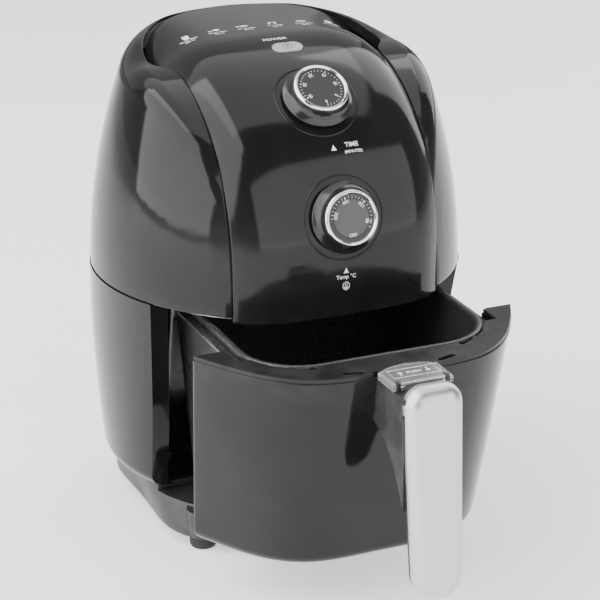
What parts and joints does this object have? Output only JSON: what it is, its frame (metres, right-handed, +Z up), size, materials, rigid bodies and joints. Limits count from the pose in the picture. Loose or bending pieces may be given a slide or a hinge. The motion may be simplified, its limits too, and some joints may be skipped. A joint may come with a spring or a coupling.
{
  "type": "compact air fryer",
  "caption": "Compact hot-air fryer with a rounded casing, two control knobs on a curved panel and a pull-out drawer holding a pan and a lift-out basket.",
  "frame": {"origin": "on the floor under the middle of the overall box, drawer in its stored half-open position", "axes": "+Z up, -Y out of the front where the drawer pulls out, +X to the right of someone who stands in front and faces the machine"},
  "size_m": [0.2188, 0.3478, 0.289],
  "materials": {
    "gloss_black": "gloss",
    "base_grey": "satin",
    "black_plastic": "matte",
    "foot_rubber": "matte",
    "steel_screw": "satin",
    "sheet_metal": "satin",
    "motor_copper": "satin",
    "element_metal": "satin",
    "aluminium": "satin",
    "coated_pan": "satin",
    "silver_cover": "satin",
    "chrome_ring": "gloss",
    "dial_black": "satin",
    "clear_plastic": "gloss",
    "lamp_grey": "satin",
    "lamp_tube": "gloss",
    "button_grey": "satin",
    "phenolic": "matte"
  },
  "bodies": {
    "machine": {"upper_housing": "gloss_black", "control_panel": "gloss_black", "lower_housing": "gloss_black", "base": "base_grey", "feet": "foot_rubber", "base_screws": "steel_screw", "deck_screws": "steel_screw", "vent_grille": "black_plastic", "cord_inlet": "black_plastic", "bay_liner": "sheet_metal", "mid_deck": "sheet_metal", "heat_shield": "sheet_metal", "heating_element": "element_metal", "element_guard": "steel_screw", "motor": "motor_copper", "motor_core": "element_metal", "motor_bracket": "sheet_metal", "timer": "sheet_metal", "timer_bell": "chrome_ring", "thermostat": "phenolic", "lamp_lens": "lamp_grey", "lamp_holder": "black_plastic", "neon_lamp": "lamp_tube", "drawer_switch": "black_plastic", "terminal_block": "phenolic", "thermal_fuse": "phenolic"},
    "drawer": {"drawer_front": "gloss_black", "drawer_rim": "black_plastic", "pan": "coated_pan", "basket": "coated_pan", "basket_rim": "coated_pan", "handle_core": "black_plastic", "handle_cover": "silver_cover", "handle_screws": "steel_screw", "guard_pin": "steel_screw", "button_spring": "steel_screw"},
    "guard": {"button_guard": "clear_plastic"},
    "button": {"release_button": "button_grey"},
    "time_control": {"time_knob": "gloss_black", "time_knob_ring": "chrome_ring", "time_dial": "dial_black", "time_shaft": "steel_screw"},
    "temp_control": {"temp_knob": "gloss_black", "temp_knob_ring": "chrome_ring", "temp_dial": "dial_black", "temp_shaft": "steel_screw"},
    "blower": {"convection_fan": "aluminium", "cooling_fan": "aluminium", "motor_shaft": "steel_screw"},
    "switch_pin": {"switch_plunger": "phenolic"}
  },
  "joints": [
    {"name": "drawer_slide", "type": "slide", "parent": "machine", "child": "drawer", "axis": [0, -1, 0], "range_m": [-0.066, 0.036]},
    {"name": "guard_flip", "type": "hinge", "parent": "drawer", "child": "guard", "pos_m": [0, -0.1431, 0.1504], "axis": [1, 0, 0], "range_deg": [0, 95]},
    {"name": "button_press", "type": "slide", "parent": "drawer", "child": "button", "axis": [0, 0, -1], "range_m": [0, 0.002], "stiffness_N_per_m": 600, "springref_m": -0.001, "deforming": ["button_spring"]},
    {"name": "time_turn", "type": "hinge", "parent": "machine", "child": "time_control", "pos_m": [0, -0.00729, 0.26587], "axis": [0, 0.6184, -0.7859], "range_deg": [0, 300]},
    {"name": "temp_turn", "type": "hinge", "parent": "machine", "child": "temp_control", "pos_m": [0, -0.04487, 0.20877], "axis": [0, 0.9664, -0.2571], "range_deg": [0, 265]},
    {"name": "fan_spin", "type": "hinge", "parent": "machine", "child": "blower", "pos_m": [0, 0.0475, 0.2], "axis": [0, 0, 1], "continuous": true},
    {"name": "switch_press", "type": "slide", "parent": "machine", "child": "switch_pin", "axis": [0, 1, 0], "range_m": [0, 0.0015], "stiffness_N_per_m": 300, "springref_m": -0.001}
  ]
}
